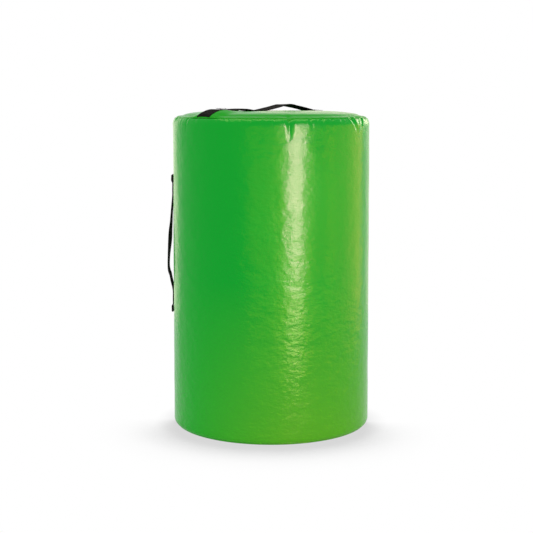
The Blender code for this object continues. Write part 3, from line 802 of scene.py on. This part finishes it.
def shape_top(points):
    """Top panel with puckers near its edge, slow waves and a dip under the strap."""
    x, y, z = points.T
    radii = np.hypot(x, y)
    angles = np.degrees(np.arctan2(y, x)) % 360
    from_edge = np.clip(bag_radius - top_pucker_inset - radii, 0, None)
    sink = top_pucker_share * pucker_depth(angles, top_pucker_squeeze * from_edge)
    inside = np.clip((still_radius - radii) / still_width, 0, 1)
    for depth, size, seed in top_waves:
        sink += inside * depth * soft_waves(points, size, seed)
    along = x * strap_forward[0] + y * strap_forward[1]
    aside = -x * strap_forward[1] + y * strap_forward[0]
    laid_down = np.clip((np.abs(along) - dip_starts) / dip_run, 0, 1)
    pressed = hump(aside, 0, dip_half, 4) * laid_down
    sink += strap_dip * pressed - shoulder_bulge(along, aside)
    beside_strap = 1 - hump(aside, 0, hold_half, 4)
    sink += shoulder_drop * beside_strap * hump(radii, shoulder_radius, shoulder_width)
    # Cloth that sinks near the edge is drawn in a little as well
    drawn = 1 - drawn_share * sink / drawn_from
    return np.column_stack((x * drawn, y * drawn, z - sink))


cover_top = settle("cover_top", shape, crown_cloth, nodes=["top_panel"])
map_flat(cover_top)
reshape(cover_top, shape_top)
thicken(cover_top, cloth)

# %% Base panel and foot band
base_profile = [(0, 0.0)] + [(r, 0.0) for r in np.linspace(0.04, foot_middle[0], 9)]
base_profile += [on_circle(foot_middle, foot_rounding, a) for a in (-82, -74, -66, -58)]
base_lip = seam_lip(foot_middle, foot_rounding, -45, -1, foot_seam_depth, foot_roll)
base_profile += reversed(base_lip)
shape = turned(base_profile, 0, 360, 180)
lowest = min(shape.faces, key=lambda face: face.calc_center_median().z)
if lowest.normal.z > 0:
    bmesh.ops.reverse_faces(shape, faces=shape.faces)
cover_base = settle("cover_base", shape, cover_cloth, nodes=["base_panel"])
map_flat(cover_base)
thicken(cover_base, cloth)

band_heights = np.linspace(foot_rounding, zip_height - zip_slot_half, 14)
band_profile = foot_curve + [(wall_radius(z), z) for z in band_heights]
shape = turned(band_profile, zip_start + 0.1, zip_end - 0.1, 160)
wall_sheet("cover_foot_band", shape, cover_cloth, "foot_band")

# %% [markdown]
# ## Webbing
#
# Webbing is woven from thick yarns that cross in a fine even grid. A strap is a flat grid laid
# along a smooth curve, cupped a little across its width, because webbing is never quite flat.
# Its UV map runs along the strap and across it, in metres.


# %% Webbing material
def woven_tape(name, colour, shade, pitch, depth, gloss):
    """Woven black tape, with yarns that cross and a broken, matt sheen."""
    made, tree, shader, place = new_material(name)
    own_map = add(tree, "UVMap", uv_map="cloth_map").outputs[0]
    weave = use_group(tree, imprint, {"Cloth": own_map, "Pitch": pitch, "Depth": depth})
    fuzz = wrinkled(tree, place, count=900.0, flatness=1.0, depth=0.00003)
    heights = calculate(tree, "ADD", weave.outputs["Height"], fuzz)
    roughness, _ = handled(tree, place, size=60.0, least=gloss, most=gloss + 0.15)
    # Painted shade: the hollows between the yarns are painted darker and the yarn tops lighter
    weave_painted_shade = run_between(tree, weave.outputs["Yarn"], -1.0, 1.0)
    tone = blend_colours(tree, weave_painted_shade, (*shade, 1), (*colour, 1))
    join_shader(tree, shader, tone, roughness, heights)
    shader.inputs["Specular IOR Level"].default_value = 0.02
    return made


webbing = woven_tape(
    "webbing",
    colour=(0.010, 0.010, 0.010),
    shade=(0.004, 0.004, 0.004),
    pitch=0.0016,
    depth=0.00010,
    gloss=0.70,
)
zip_cloth = woven_tape(
    "zip_cloth",
    colour=(0.018, 0.018, 0.019),
    shade=(0.008, 0.008, 0.009),
    pitch=0.0007,
    depth=0.00004,
    gloss=0.75,
)


# %% Strap helpers
def smooth_line(points, spacing):
    """Points evenly spaced along a smooth curve through the given ones."""
    dense = []
    padded = [points[0], *points, points[-1]]
    steps = 12
    for before, start, end, after in zip(padded, padded[1:], padded[2:], padded[3:]):
        slope = end - before
        bend = 2 * before - 5 * start + 4 * end - after
        swing = 3 * start - before - 3 * end + after
        for t in (step / steps for step in range(steps)):
            dense.append(0.5 * (2 * start + slope * t + bend * t**2 + swing * t**3))
    dense.append(points[-1])
    reach = np.cumsum([0] + [(b - a).length for a, b in zip(dense, dense[1:])])
    count = round(reach[-1] / spacing) + 1
    places = np.linspace(0, reach[-1], count)
    sides = [np.interp(places, reach, [p[axis] for p in dense]) for axis in range(3)]
    return [Vector(p) for p in zip(*sides)], reach[-1]


def round_edges(piece, width, segments=2):
    """Bevel the sharp edges of a piece."""
    bevel = piece.modifiers.new("rounded", "BEVEL")
    bevel.width = width
    bevel.segments = segments
    bevel.limit_method = "ANGLE"
    bevel.angle_limit = math.radians(50)


webbing_width = 0.040
webbing_thickness = 0.002
strap_spacing = 0.0025
strap_columns = 12
strap_cup = 0.00035
cup_pace, cup_start = 9, 2
strap_edge = 0.0006


def strap(name, points, across, twist, node):
    """Band of webbing along a curve. Twist is its most turn in degrees, the share of the way
    where it turns most, and how far along that reaches."""
    line, length = smooth_line(points, strap_spacing)
    most, middle, spread = twist
    shape = bmesh.new()
    layer = shape.loops.layers.uv.new("cloth_map")
    bmesh.ops.create_grid(shape, x_segments=len(line) - 1, y_segments=strap_columns, size=0.5)
    for face in shape.faces:
        for loop in face.loops:
            loop[layer].uv = ((loop.vert.co.x + 0.5) * length, loop.vert.co.y * webbing_width)
    for point in shape.verts:
        share, aside = point.co.x + 0.5, point.co.y
        step = min(round(share * (len(line) - 1)), len(line) - 1)
        ahead = line[min(step + 1, len(line) - 1)] - line[max(step - 1, 0)]
        turned_by = math.radians(most * hump(share, middle, spread))
        sideways = Matrix.Rotation(turned_by, 3, ahead.normalized()) @ across
        up = sideways.cross(ahead).normalized()
        cup = strap_cup * (2 * aside) ** 2 * math.sin(cup_pace * share + cup_start)
        # The other face grows a whole thickness away, so this one starts half of it too low
        place = line[step] + sideways * aside * webbing_width
        point.co = place + up * (cup - webbing_thickness / 2)
    bmesh.ops.solidify(shape, geom=shape.faces, thickness=webbing_thickness)
    bmesh.ops.recalc_face_normals(shape, faces=shape.faces)
    round_edges(settle(name, shape, webbing, nodes=[node]), strap_edge)
    print(f"{name}: {length:.3f} m of webbing")


# %% [markdown]
# ## Top handle
#
# One length of webbing crosses the crown from front left to back right. Its ends go into the
# rim seam, a stitched box holds it near each end, and between the boxes it is slack. It lies
# on the crown for most of the way and rises into a low arch for the hand behind the middle.

# %% Top handle
free_reach = 0.13385
box_middle = 0.1492
box_half = 0.015
arch_rise = 0.0144
# Share of the way between the boxes, and share of the rise
arch = [
    (0.04, 0.26), (0.09, 0.37), (0.14, 0.34), (0.20, 0.20), (0.27, 0.09),
    (0.34, 0.09), (0.40, 0.23), (0.46, 0.40), (0.53, 0.61), (0.60, 0.86),
    (0.65, 1.0), (0.70, 0.94), (0.75, 0.78), (0.84, 0.54), (0.93, 0.27),
]
forward = Vector((*strap_forward, 0))
aside = Vector((-strap_forward[1], strap_forward[0], 0))
lift = gap + webbing_thickness / 2


def over_crown(reach, rise=0.0):
    """Point of the strap's middle line, with reach measured towards the back."""
    height = crown_height(abs(reach)) + float(shoulder_bulge(-reach, 0)) + lift + rise
    return -reach * forward + Vector((0, 0, height))


over_rim = [on_circle(rim_middle, rim_rounding + lift, a) for a in (50, 57, 64, 72)]
held_down = (0.205, 0.196, 0.186, 0.172, 0.155, 0.137)
line = [forward * r + Vector((0, 0, z + float(shoulder_bulge(r, 0)))) for r, z in over_rim]
line += [over_crown(-r) for r in held_down]
line += [over_crown(free_reach * (2 * share - 1), rise * arch_rise) for share, rise in arch]
line += [over_crown(r) for r in reversed(held_down)]
line += [-forward * r + Vector((0, 0, z)) for r, z in reversed(over_rim)]
# The arch leans a little, so that its near edge stands higher
strap("top_strap", line, aside, (-1.8, 0.63, 0.09), "top_handle")

# %% [markdown]
# ## Side handle
#
# The side handle runs down the left of the bag. Each end has a narrow hem turned under, and a
# stitched box holds it to the cover. Between the boxes it stands off the cloth, furthest a
# little above its lower end, where it drops back steeply.

# %% Side handle
strap_top = 0.583
strap_bottom = 0.263
hem = 0.013
hem_run = 0.005
stand_rise = 0.012
# Share of the way down between the boxes, and share of the rise
stand_wave = [
    (0.0, 0.0), (0.11, 0.17), (0.19, 0.29), (0.28, 0.40), (0.36, 0.55), (0.45, 0.65),
    (0.54, 0.79), (0.62, 0.92), (0.70, 1.0), (0.76, 0.98), (0.80, 0.84), (0.83, 0.64),
    (0.88, 0.46), (0.92, 0.28), (0.96, 0.10), (1.0, 0.0),
]
side_inset = hem + hem_run + gap + box_half
side_boxes = (strap_top - side_inset, strap_bottom + side_inset)
free_top, free_bottom = side_boxes[0] - box_half - gap, side_boxes[1] + box_half + gap
fold = 0.0012


def beside_wall(height, stand_off):
    """Point of the side strap's middle line."""
    return Vector((-wall_radius(height) - lift - stand_off, 0, height))


def hem_line(end, side):
    """Middle line of a hem, from its cut end under the strap, round the fold, to the strap."""
    points = [beside_wall(end - side * hem, 0), beside_wall(end - side * (hem / 2), 0)]
    for turn in (0, 45, 90, 135, 180):
        angle = math.radians(turn)
        height = end - side * (fold + webbing_thickness / 2 - fold * math.sin(angle))
        points.append(beside_wall(height, fold * (1 - math.cos(angle))))
    points.append(beside_wall(end - side * (hem / 2), 2 * fold))
    points.append(beside_wall(end - side * hem, 2 * fold))
    points.append(beside_wall(end - side * (hem + hem_run), 0))
    return points


line = hem_line(strap_top, 1)
line.append(beside_wall(side_boxes[0], 0))
for share, rise in stand_wave:
    line.append(beside_wall(free_top + share * (free_bottom - free_top), rise * stand_rise))
line.append(beside_wall(side_boxes[1], 0))
line += reversed(hem_line(strap_bottom, -1))
# The strap turns a little where it hangs free
strap("side_strap", line, Vector((0, -1, 0)), (6, 0.46, 0.10), "side_handle")

# %% [markdown]
# ## Stitches
#
# Every stitch is a bead of thread, long and thin, that sinks halfway into the cloth. Each bead
# is a sphere of two dozen faces, stretched by the matrix that places it.

# %% Thread
def fine_finish(name, dark, light, grain, wear):
    """Finish of a small piece: grain by count, flatness and depth, and wear by the size of its
    patches and their least and most roughness."""
    made, tree, shader, place = new_material(name)
    roughness, mask = handled(tree, place, *wear)
    tone = blend_colours(tree, mask, (*dark, 1), (*light, 1))
    join_shader(tree, shader, tone, roughness, wrinkled(tree, place, *grain))
    return made, shader


thread, shader = fine_finish(
    "thread",
    dark=(0.014, 0.014, 0.015),
    light=(0.040, 0.040, 0.043),
    grain=(1500.0, 1.0, 0.00004),
    wear=(200.0, 0.5, 0.7),
)
shader.inputs["Specular IOR Level"].default_value = 0.08
stitch_pitch = 0.0034
stitch_gap = 0.08
thread_width = 0.0008
beads_at_once = 12
above_cloth = 0.0002


def bead(start, end, out, width=thread_width, height=thread_width):
    """Matrix that stretches a unit sphere into one long bead from start to end."""
    along = (end - start).normalized()
    sideways = out.cross(along).normalized()
    up = along.cross(sideways)
    turn = Matrix((sideways, up, along)).transposed().to_4x4()
    size = Matrix.Diagonal((width / 2, height / 2, (end - start).length / 2, 1))
    return Matrix.Translation((start + end) / 2) @ turn @ size


def string_beads(matrices):
    """Shape with a bead for each matrix. They are made a few at a time, because an operator
    goes through the whole of the shape that it adds to."""
    whole = bmesh.new()
    for first in range(0, len(matrices), beads_at_once):
        few = bmesh.new()
        for matrix in matrices[first : first + beads_at_once]:
            bmesh.ops.create_uvsphere(few, u_segments=6, v_segments=4, radius=1, matrix=matrix)
        carrier = bpy.data.meshes.new("few_beads")
        few.to_mesh(carrier)
        few.free()
        whole.from_mesh(carrier)
        bpy.data.meshes.remove(carrier)
    return whole


def sew(start, end, out, count=None):
    """Row of stitches from start to end, with a little cloth between them."""
    count = count or max(1, round((end - start).length / stitch_pitch))
    row = []
    for stitch in range(count):
        near = start.lerp(end, (stitch + stitch_gap) / count)
        far = start.lerp(end, (stitch + 1 - stitch_gap) / count)
        row.append(bead(near, far, out))
    return row


def sewn_box(name, place, out, node):
    """Square of stitches with a cross in it, set in space by a function of length and width."""
    corners = [place(a * box_half, b * box_half) for a, b in ((-1, -1), (1, -1), (1, 1), (-1, 1))]
    rows = list(zip(corners, corners[1:] + corners[:1]))
    rows += [(corners[0], corners[2]), (corners[1], corners[3])]
    stitches = [stitch for start, end in rows for stitch in sew(start, end, out)]
    print(f"{name}: {len(stitches)} stitches")
    return settle(name, string_beads(stitches), thread, nodes=[node])


# %% Stitched boxes
on_strap = webbing_thickness / 2 + above_cloth
crown_lean = 0.1
for side, name in ((-1, "front"), (1, "back")):

    def on_top(along, width, side=side):
        reach = box_middle + along
        return over_crown(side * reach) + aside * width + Vector((0, 0, on_strap))

    tilt = Vector((0, 0, 1)) - side * crown_lean * forward
    sewn_box("top_box_" + name, on_top, tilt.normalized(), "top_stitch_" + name)
for name, middle in zip(("upper", "lower"), side_boxes):

    def on_side(along, width, middle=middle):
        return beside_wall(middle + along, on_strap) + Vector((0, width, 0))

    sewn_box("side_box_" + name, on_side, Vector((-1, 0, 0)), "side_stitch_" + name)

# %% [markdown]
# ## Zip
#
# A coil zip runs low across the back. Its tapes are sewn behind the edges of the cover with a
# row of stitches each. Every turn of the coil is three beads: one strand outside, one inside,
# and a head that locks between the heads of the other side.


# %% Zip helpers
def round_back(radius, angle, height):
    """Point at an angle in degrees round the bag."""
    turn = math.radians(angle)
    return Vector((radius * math.cos(turn), radius * math.sin(turn), height))


def outwards(angle):
    """Direction away from the axis."""
    return round_back(1, angle, 0)


zip_radius = wall_radius(zip_height)

# %% Tapes and their stitches
tape_inner, tape_outer = 0.0043, 0.022
tape_first, tape_last = 10.3, 169.7
tape_thickness = 0.0008
row_reach = 0.0116
row_first, row_last = 15.3, 164.6
for side, name in ((1, "upper"), (-1, "lower")):
    heights = [zip_height + side * reach for reach in np.linspace(tape_inner, tape_outer, 6)]
    tape_profile = [(zip_radius - cloth - gap, z) for z in sorted(heights)]
    shape = turned(tape_profile, tape_first, tape_last, 160)
    node = "zip_tape_" + name
    wall_sheet(node + "_woven", shape, zip_cloth, node, tape_thickness)
    height = zip_height + side * row_reach
    radius = wall_radius(height) + above_cloth
    step = math.degrees(stitch_pitch / zip_radius)
    row = []
    for angle in np.arange(row_first, row_last, step):
        near = round_back(radius, angle + stitch_gap * step, height)
        far = round_back(radius, angle + (1 - stitch_gap) * step, height)
        row.append(bead(near, far, outwards(angle)))
    settle("zip_row_" + name, string_beads(row), thread, nodes=["zip_thread_" + name])

# %% Coils
nylon, shader = fine_finish(
    "coil_nylon",
    dark=(0.014, 0.014, 0.015),
    light=(0.026, 0.026, 0.028),
    grain=(1200.0, 1.0, 0.00001),
    wear=(300.0, 0.30, 0.46),
)
shader.inputs["Specular IOR Level"].default_value = 0.12

coil_first, coil_last = 21.1, 157.9
coil_step = 0.0013
coil_pitch = math.degrees(coil_step / zip_radius)
coil_foot, coil_tip, coil_head = 0.0040, 0.0002, 0.00055
strand_width = 0.0009
head_width, head_height = 0.00062, 0.0008
strand_slant = 0.1
coil_sink, coil_depth = 0.0004, 0.003
coil_face = zip_radius - coil_sink
outer_strand = coil_face - strand_width / 2
inner_strand = coil_face - coil_depth + strand_width / 2
for side, name in ((1, "upper"), (-1, "lower")):
    turns = np.arange(coil_first, coil_last, coil_pitch) + 0.25 * coil_pitch * side
    strands = []
    for angle in turns:
        for radius in (outer_strand, inner_strand):
            foot = round_back(radius, angle - strand_slant, zip_height + side * coil_foot)
            tip = round_back(radius, angle + strand_slant, zip_height + side * coil_tip)
            strands.append(bead(foot, tip, outwards(angle), strand_width, strand_width))
        head_out = round_back(outer_strand, angle + strand_slant, zip_height + side * coil_head)
        head_in = round_back(inner_strand, angle + strand_slant, zip_height + side * coil_head)
        strands.append(bead(head_in, head_out, Vector((0, 0, 1)), head_width, head_height))
    print(f"coil {name}: {len(turns)} turns")
    node = "zip_coil_" + name
    settle(node + "_turns", string_beads(strands), nylon, nodes=[node])

# %% [markdown]
# ## End tabs
#
# A tab of cover cloth closes each end of the zip and the end of the foot band. A row of
# stitches runs round it a few millimetres in from its edge.

# %% End tabs
tab_half = 4.8
tab_top = 0.104
tab_face = 0.0015
tab_edge = 0.0004
tab_row_half = tab_half - 0.8
tab_row_low, tab_row_high = 0.020, tab_top - 0.003
for name, middle in (("right", zip_start), ("left", zip_end)):
    tab_profile = [on_circle(foot_middle, foot_rounding + tab_face, a) for a in (-38, -28, -19, -9)]
    tab_profile += [(wall_radius(z) + tab_face, z) for z in np.linspace(foot_rounding, tab_top, 16)]
    shape = turned(tab_profile, middle - tab_half, middle + tab_half, 14)
    node = "zip_tab_" + name
    tab = wall_sheet("zip_end_tab_" + name, shape, cover_cloth, node)
    round_edges(tab, tab_edge)

    def on_tab(angle, height, middle=middle):
        radius = wall_radius(height) + tab_face + above_cloth
        return round_back(radius, middle + angle, height)

    out = outwards(middle)
    stitches = []
    for edge in (-tab_row_half, tab_row_half):
        stitches += sew(on_tab(edge, tab_row_low), on_tab(edge, tab_row_high), out)
    for height in (tab_row_low, tab_row_high):
        stops = [on_tab(angle, height) for angle in np.linspace(-tab_row_half, tab_row_half, 10)]
        for start, end in zip(stops, stops[1:]):
            stitches += sew(start, end, out, 1)
    settle("zip_tab_row_" + name, string_beads(stitches), thread)

# %% [markdown]
# ## Metal
#
# The slider, its pull tab and the small clips come from the CAD. A copy of each is merged and
# its edges are rounded, because a real casting has no sharp edge. The metal is brushed along
# its length, darker in patches.

# %% Metal
metal, shader = fine_finish(
    "zip_metal",
    dark=(0.17, 0.17, 0.18),
    light=(0.28, 0.28, 0.29),
    grain=(500.0, 9.0, 0.000012),
    wear=(90.0, 0.34, 0.52),
)
shader.inputs["Metallic"].default_value = 1
flat_angle, sharp_angle, shading_angle = math.radians(2), math.radians(35), math.radians(40)


def rounded_copy(name, node, body, width):
    """Copy of a CAD node with its triangles joined and its edges rounded."""
    shape = bmesh.new()
    shape.from_mesh(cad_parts[node].data)
    bmesh.ops.remove_doubles(shape, verts=shape.verts, dist=1e-6)
    bmesh.ops.dissolve_limit(shape, angle_limit=flat_angle, verts=shape.verts, edges=shape.edges)
    sharp = [e for e in shape.edges if e.calc_face_angle(0) > sharp_angle]
    bmesh.ops.bevel(
        shape, geom=sharp, affect="EDGES", offset=width, segments=2, profile=0.5, material=-1
    )
    piece = settle(name, shape, metal, body=body, nodes=[node])
    piece.data.set_sharp_from_angle(angle=shading_angle)
    return piece


rounded_copy("slider_body", "zip_slider", "slider", 0.00022)
rounded_copy("pull_tab", "zip_puller", "puller", 0.00028)
for name, node in (
    ("clip_upper", "zip_top_clip_upper"),
    ("clip_lower", "zip_top_clip_lower"),
    ("clip_end", "zip_end_clip"),
):
    rounded_copy(name, node, "bag", 0.0003)

# %% [markdown]
# ## Foam and inner pieces
#
# Nothing inside shows while the bag is closed, but the pieces are there: a dense core, a soft
# ring round it, firm pads at both ends, and the doublers that spread the pull of the handles.


# %% Foam materials
pit_depth = 0.0006


def foam(name, colour, shade, cells):
    """Open-cell foam: small cells as pits, with painted shade that darkens each towards its middle.
    """
    made, tree, shader, place = new_material(name)
    pits_and_painted_shade = add(tree, "TexVoronoi", {"Vector": place, "Scale": cells}).outputs["Distance"]
    heights = calculate(tree, "MULTIPLY", pits_and_painted_shade, pit_depth)
    roughness, _ = handled(tree, place, size=20.0, least=0.90, most=0.98)
    # Painted shade: the colour darkens towards the middle of each cell
    tone = blend_colours(tree, pits_and_painted_shade, (*shade, 1), (*colour, 1))
    join_shader(tree, shader, tone, roughness, heights)
    return made


core_foam = foam("core_foam", (0.25, 0.23, 0.33), (0.16, 0.15, 0.22), 500)
wrap_foam = foam("wrap_foam", (0.72, 0.70, 0.62), (0.50, 0.48, 0.41), 350)
pad_foam = foam("pad_foam", (0.30, 0.33, 0.38), (0.20, 0.22, 0.26), 420)

# %% Foam pieces
core_low, core_high = 0.0420, 0.6680
core_radius, core_chamfer = 0.120, 0.002
core_profile = [
    (0, core_low),
    (core_radius - core_chamfer, core_low),
    (core_radius, core_low + core_chamfer),
    (core_radius, core_high - core_chamfer),
    (core_radius - core_chamfer, core_high),
    (0, core_high),
]
shape = turned(core_profile, steps=72)
core = settle("core_cylinder", shape, core_foam, nodes=["foam_core"])

# The ring is hollowed a little behind the zip's coils
ring_inner, ring_outer = 0.1205, 0.2215
ring_profile = [
    (ring_inner, core_low), (ring_outer, core_low), (ring_outer, 0.050), (0.2185, 0.053),
    (0.2185, 0.097), (ring_outer, 0.100), (0.2200, core_high), (ring_inner, core_high),
]
shape = turned(ring_profile, back_seam + 1.0, back_seam + 359.0, 120, closed=True)
bmesh.ops.holes_fill(shape, edges=shape.edges, sides=0)
bmesh.ops.recalc_face_normals(shape, faces=shape.faces)
soft_ring = settle("soft_ring", shape, wrap_foam, nodes=["foam_wrap"])

base_pad_profile = [
    (0, 0.002), (0.2125, 0.002), (0.218, 0.0045), (0.2225, 0.012), (0.2240, 0.016),
    (0.2238, 0.0412), (0, 0.0412),
]
shape = turned(base_pad_profile, steps=72)
base_pad = settle("base_pad", shape, pad_foam, nodes=["foam_base_pad"])

under_crown = 0.0045
crown_pad_profile = [(0, 0.6687), (ring_outer, 0.6687), (ring_outer, 0.692), (0.2150, 0.704)]
crown_pad_radii = (0.200, 0.170, 0.130, 0.085, 0.040, 0)
crown_pad_profile += [(r, crown_height(r) - under_crown) for r in crown_pad_radii]
shape = turned(crown_pad_profile, steps=72)
crown_pad = settle("crown_pad", shape, pad_foam, nodes=["foam_top_pad"])

# %% Doublers
doubler_sink = 0.0020
doubler_radii = (0.1605, 0.130, 0.100, 0.070, 0.035, 0)
shape = turned([(r, crown_height(r) - doubler_sink) for r in doubler_radii], steps=72)
doubler = settle("crown_doubler", shape, lining_cloth, nodes=["top_doubler"])
map_flat(doubler)
thicken(doubler, cloth)
patch_sink, patch_half_height, patch_half_turn = 0.0027, 0.031, 9.7
patch_thickness = 0.0010
for name, middle in zip(("upper", "lower"), side_boxes):
    heights = np.linspace(middle - patch_half_height, middle + patch_half_height, 5)
    patch_profile = [(wall_radius(z) - patch_sink, z) for z in heights]
    shape = turned(patch_profile, 180 - patch_half_turn, 180 + patch_half_turn, 12)
    node = "side_patch_" + name
    wall_sheet(
        "side_doubler_" + name, shape, lining_cloth, node, patch_thickness
    )

# %% Carried-over seam threads
for node in ("top_seam_thread", "base_seam_thread", "back_seam_thread"):
    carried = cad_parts[node]
    carried.data.materials.clear()
    carried.data.materials.append(thread)
